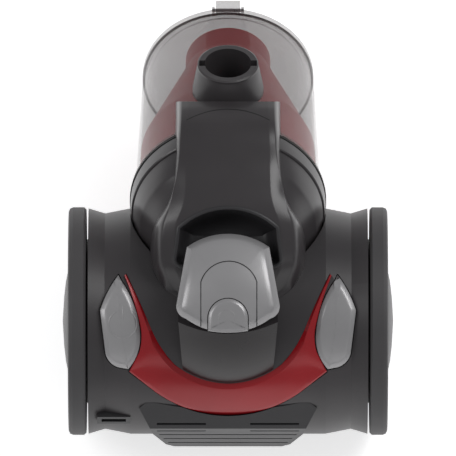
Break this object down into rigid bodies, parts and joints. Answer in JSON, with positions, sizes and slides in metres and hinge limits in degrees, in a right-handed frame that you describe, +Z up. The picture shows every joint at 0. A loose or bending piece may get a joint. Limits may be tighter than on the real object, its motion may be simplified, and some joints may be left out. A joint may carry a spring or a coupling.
{
  "type": "cylinder vacuum cleaner body",
  "caption": "Bagless cylinder vacuum cleaner body: drum housing between two large wheels, sloping clear dust bin with red cyclone, carrying handle and hose port.",
  "frame": {"origin": "middle of the footprint, on the floor that the wheels stand on", "axes": "+X to the right, +Y forward towards the bin's lid, +Z up"},
  "size_m": [0.299, 0.3982, 0.2635],
  "materials": {
    "housing": "satin moulded, dark charcoal",
    "gloss_dark": "glossy moulded, charcoal",
    "wheel": "satin moulded, charcoal",
    "tyre": "moulded rubber, fine grain",
    "red": "glossy metallic red",
    "silver": "satin silver-grey paint",
    "clear": "transparent smoke-tinted",
    "grille": "satin moulded, near black",
    "black": "soft seal",
    "foam": "open-cell foam",
    "filter": "pleated filter paper",
    "steel": "turned steel",
    "copper": "enamelled copper winding and iron stack",
    "board": "printed circuit board",
    "plain": "natural moulded plastic"
  },
  "bodies": {
    "root": {"power_pedal_spring": "steel", "rewind_pedal_spring": "steel", "upper_housing": "housing", "lower_chassis": "housing", "housing_screws": "steel", "inlet_seal": "black", "deck_trim": "red", "rear_grille": "grille", "exhaust_filter": "filter", "cord_bezel": "grille", "left_axle": "steel", "right_axle": "steel", "axle_clips": "steel", "motor_can": "steel", "motor_end_bell": "steel", "motor_stator": "copper", "motor_mounts": "black", "power_switch": "plain", "circuit_board": "board"},
    "power_pedal": {"power_pedal": "silver"},
    "rewind_pedal": {"rewind_pedal": "silver"},
    "left_wheel": {"left_tyre": "tyre", "left_wheel_disc": "wheel", "left_hub_cap": "wheel"},
    "right_wheel": {"right_tyre": "tyre", "right_wheel_disc": "wheel", "right_hub_cap": "wheel"},
    "castor_fork": {"castor_fork": "grille", "castor_pin": "steel"},
    "castor_wheel": {"castor_wheel": "tyre"},
    "motor_rotor": {"rotor_shaft": "steel", "armature": "copper", "impeller": "plain"},
    "cord_reel": {"cord_reel": "plain", "rewind_spring": "steel"},
    "brake_lever": {"brake_lever": "plain", "brake_shoe": "black"},
    "dust_unit": {"bin_body": "clear", "lid_hinge_pin": "steel", "bin_gasket": "black", "cyclone_body": "red", "vortex_tube": "plain", "head_cover": "gloss_dark", "filter_frame": "plain", "pre_filter": "foam", "duct_cover": "gloss_dark", "handle_body": "gloss_dark", "left_fairing": "gloss_dark", "right_fairing": "gloss_dark", "grip_cover": "silver", "button_spring": "steel", "hose_port": "housing"},
    "release_button": {"release_button": "silver", "release_rod": "plain"},
    "bin_lid": {"bin_lid": "clear", "lid_seal": "black", "latch_pin": "steel"},
    "lid_latch": {"lid_latch": "grille"}
  },
  "joints": [
    {"name": "left_wheel_spin", "type": "hinge", "parent": "root", "child": "left_wheel", "pos_m": [0, -0.08993, 0.103], "axis": [1, 0, 0], "continuous": true},
    {"name": "right_wheel_spin", "type": "hinge", "parent": "root", "child": "right_wheel", "pos_m": [0, -0.08993, 0.103], "axis": [1, 0, 0], "continuous": true},
    {"name": "castor_swivel", "type": "hinge", "parent": "root", "child": "castor_fork", "pos_m": [0, 0.05007, 0.036], "axis": [0, 0, 1], "continuous": true},
    {"name": "castor_roll", "type": "hinge", "parent": "castor_fork", "child": "castor_wheel", "pos_m": [0, 0.04107, 0.016], "axis": [1, 0, 0], "continuous": true},
    {"name": "power_pedal_press", "type": "slide", "parent": "root", "child": "power_pedal", "axis": [0, 0.342, -0.9397], "range_m": [0, 0.004], "stiffness_N_per_m": 1200, "springref_m": -0.004, "deforming": ["power_pedal_spring"]},
    {"name": "rewind_pedal_press", "type": "slide", "parent": "root", "child": "rewind_pedal", "axis": [0, 0.342, -0.9397], "range_m": [0, 0.004], "stiffness_N_per_m": 1200, "springref_m": -0.004, "deforming": ["rewind_pedal_spring"]},
    {"name": "brake_lever_rock", "type": "hinge", "parent": "root", "child": "brake_lever", "pos_m": [0, -0.10413, 0.18296], "axis": [1, 0, 0], "range_deg": [0, 16.5]},
    {"name": "motor_spin", "type": "hinge", "parent": "root", "child": "motor_rotor", "pos_m": [0, -0.12193, 0.088], "axis": [1, 0, 0], "continuous": true},
    {"name": "reel_spin", "type": "hinge", "parent": "root", "child": "cord_reel", "pos_m": [0, -0.08993, 0.103], "axis": [1, 0, 0], "continuous": true},
    {"name": "dust_unit_lift", "type": "slide", "parent": "root", "child": "dust_unit", "axis": [0, 0.515, 0.8572], "range_m": [0, 0.15]},
    {"name": "lid_swing", "type": "hinge", "parent": "dust_unit", "child": "bin_lid", "pos_m": [0, 0.1894, 0.15957], "axis": [1, 0, 0], "range_deg": [0, 100]},
    {"name": "lid_latch_press", "type": "hinge", "parent": "bin_lid", "child": "lid_latch", "pos_m": [0, 0.11016, 0.01411], "axis": [-1, 0, 0], "range_deg": [0, 8], "stiffness_Nm_per_rad": 0.05, "springref_deg": -28.65},
    {"name": "release_button_press", "type": "slide", "parent": "dust_unit", "child": "release_button", "axis": [0, 0, -1], "range_m": [0, 0.003], "stiffness_N_per_m": 600, "springref_m": -0.003, "deforming": ["button_spring"]}
  ],
  "couplings": [
    {"joint": "brake_lever_rock", "follows": "rewind_pedal_press", "rad_per_m": 71.43}
  ]
}
